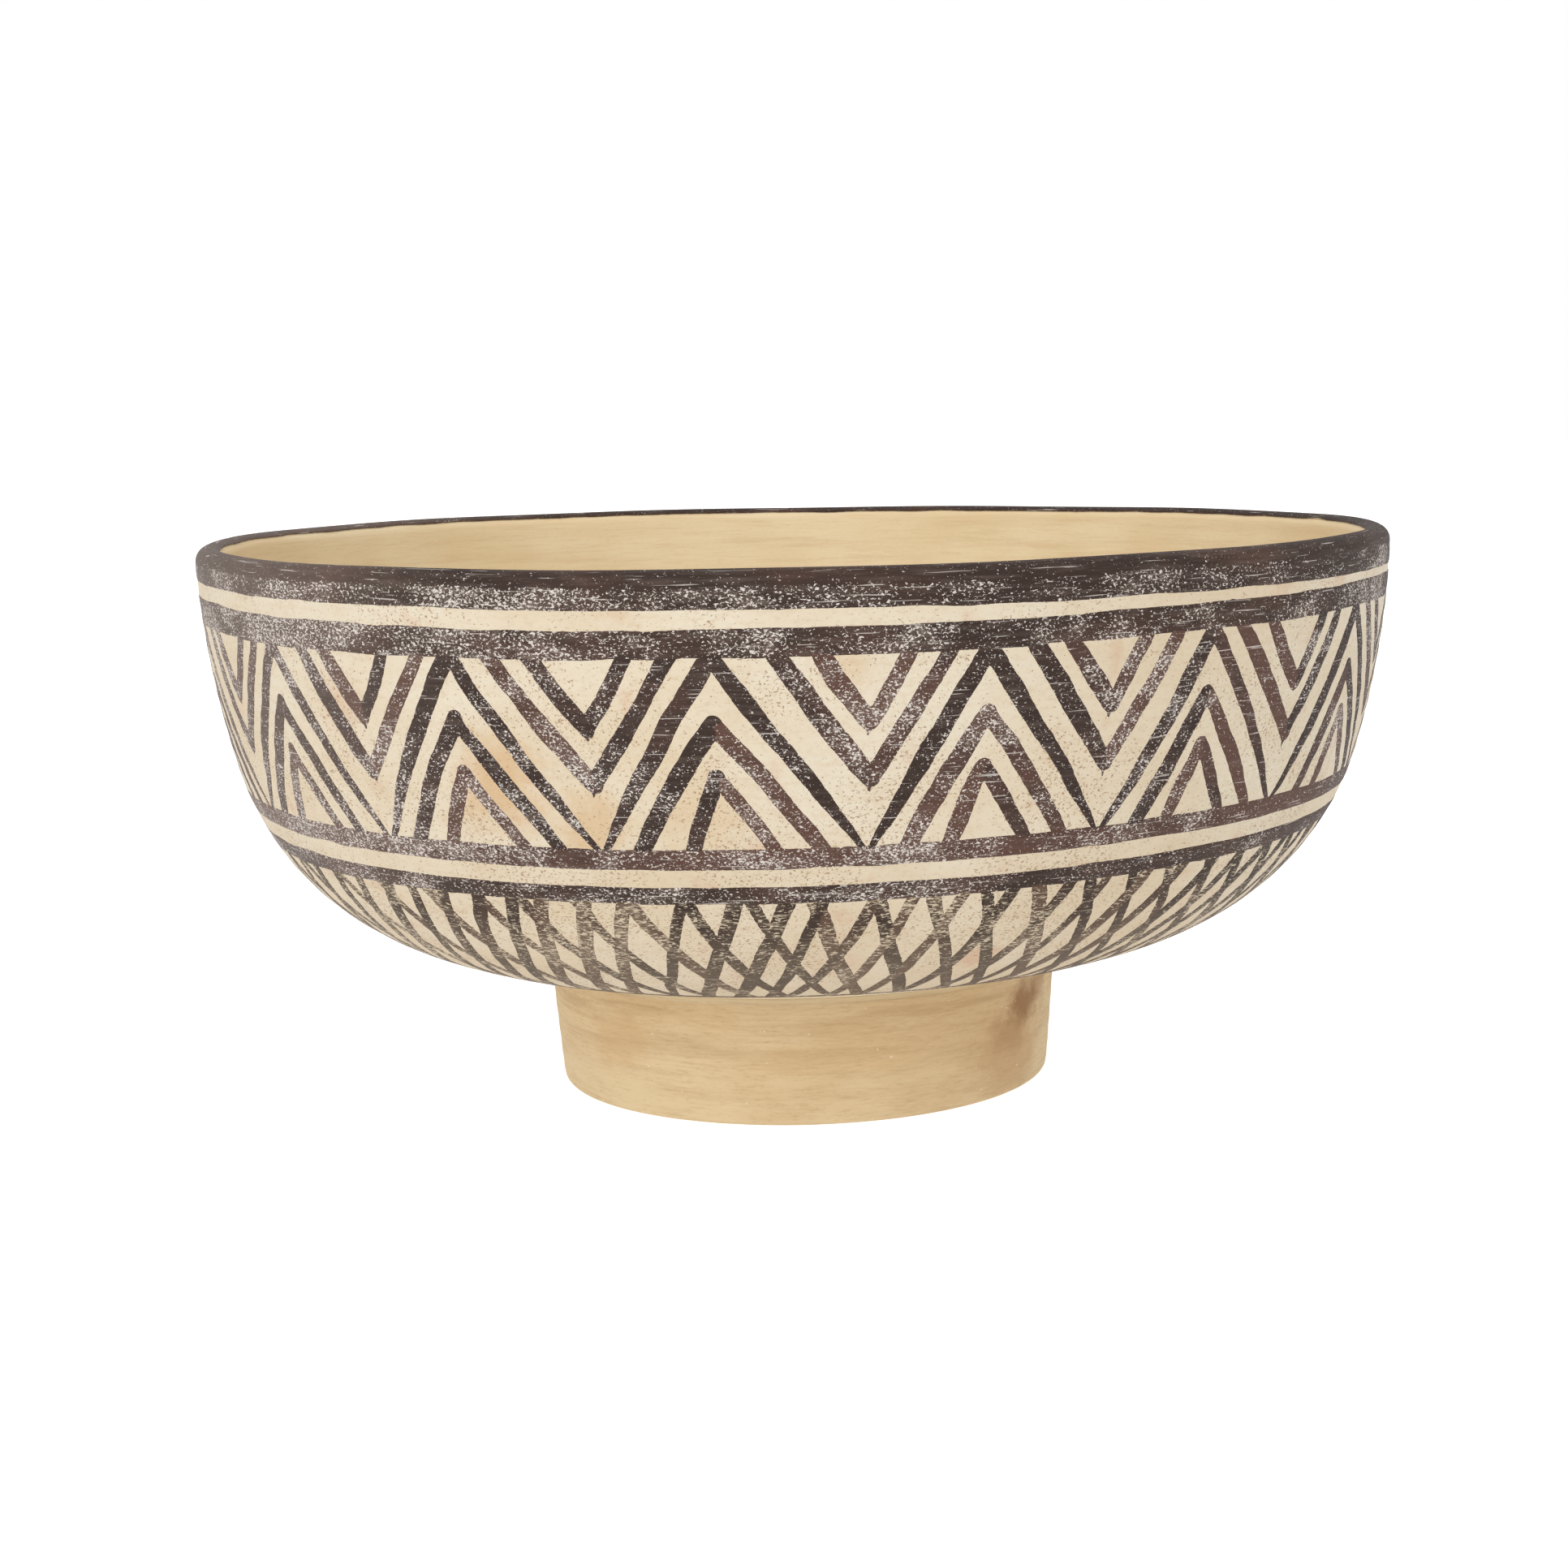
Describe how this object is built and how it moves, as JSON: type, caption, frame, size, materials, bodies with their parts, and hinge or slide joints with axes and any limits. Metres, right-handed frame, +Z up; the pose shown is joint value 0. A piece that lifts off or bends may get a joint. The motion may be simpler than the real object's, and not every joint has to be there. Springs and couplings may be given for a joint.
{
  "type": "footed bowl",
  "caption": "Wide footed earthenware bowl: cream slip outside, dark brushed bands, a frieze of nested triangles and a lattice of crossing strokes on the underside, on a plain foot ring.",
  "frame": {"origin": "centre of the foot ring's resting edge, on the table", "axes": "+Z up along the bowl's turning axis; -Y is the side that faces the viewer; +X to the viewer's right"},
  "size_m": [0.3306, 0.3306, 0.1539],
  "materials": {
    "clay": "matte unglazed buff earthenware",
    "luting_slip": "matte",
    "cream_slip": "matte, slightly burnished, with fine pits",
    "umber_paint": "matte dark brown slip paint, worn and speckled",
    "washed_paint": "thin streaky brown-grey slip paint"
  },
  "bodies": {
    "root": {"bowl_body": "clay", "foot_ring": "clay", "joint_slip": "luting_slip", "cream_slip": "cream_slip", "rim_band": "umber_paint", "upper_band": "umber_paint", "middle_band": "umber_paint", "lower_band": "umber_paint", "zigzag_line": "umber_paint", "outer_peak_chevrons": "umber_paint", "inner_peak_chevrons": "umber_paint", "outer_hanging_chevrons": "umber_paint", "inner_hanging_chevrons": "umber_paint", "lattice_right_strokes": "washed_paint", "lattice_left_strokes": "washed_paint", "base_line": "umber_paint"}
  },
  "joints": []
}
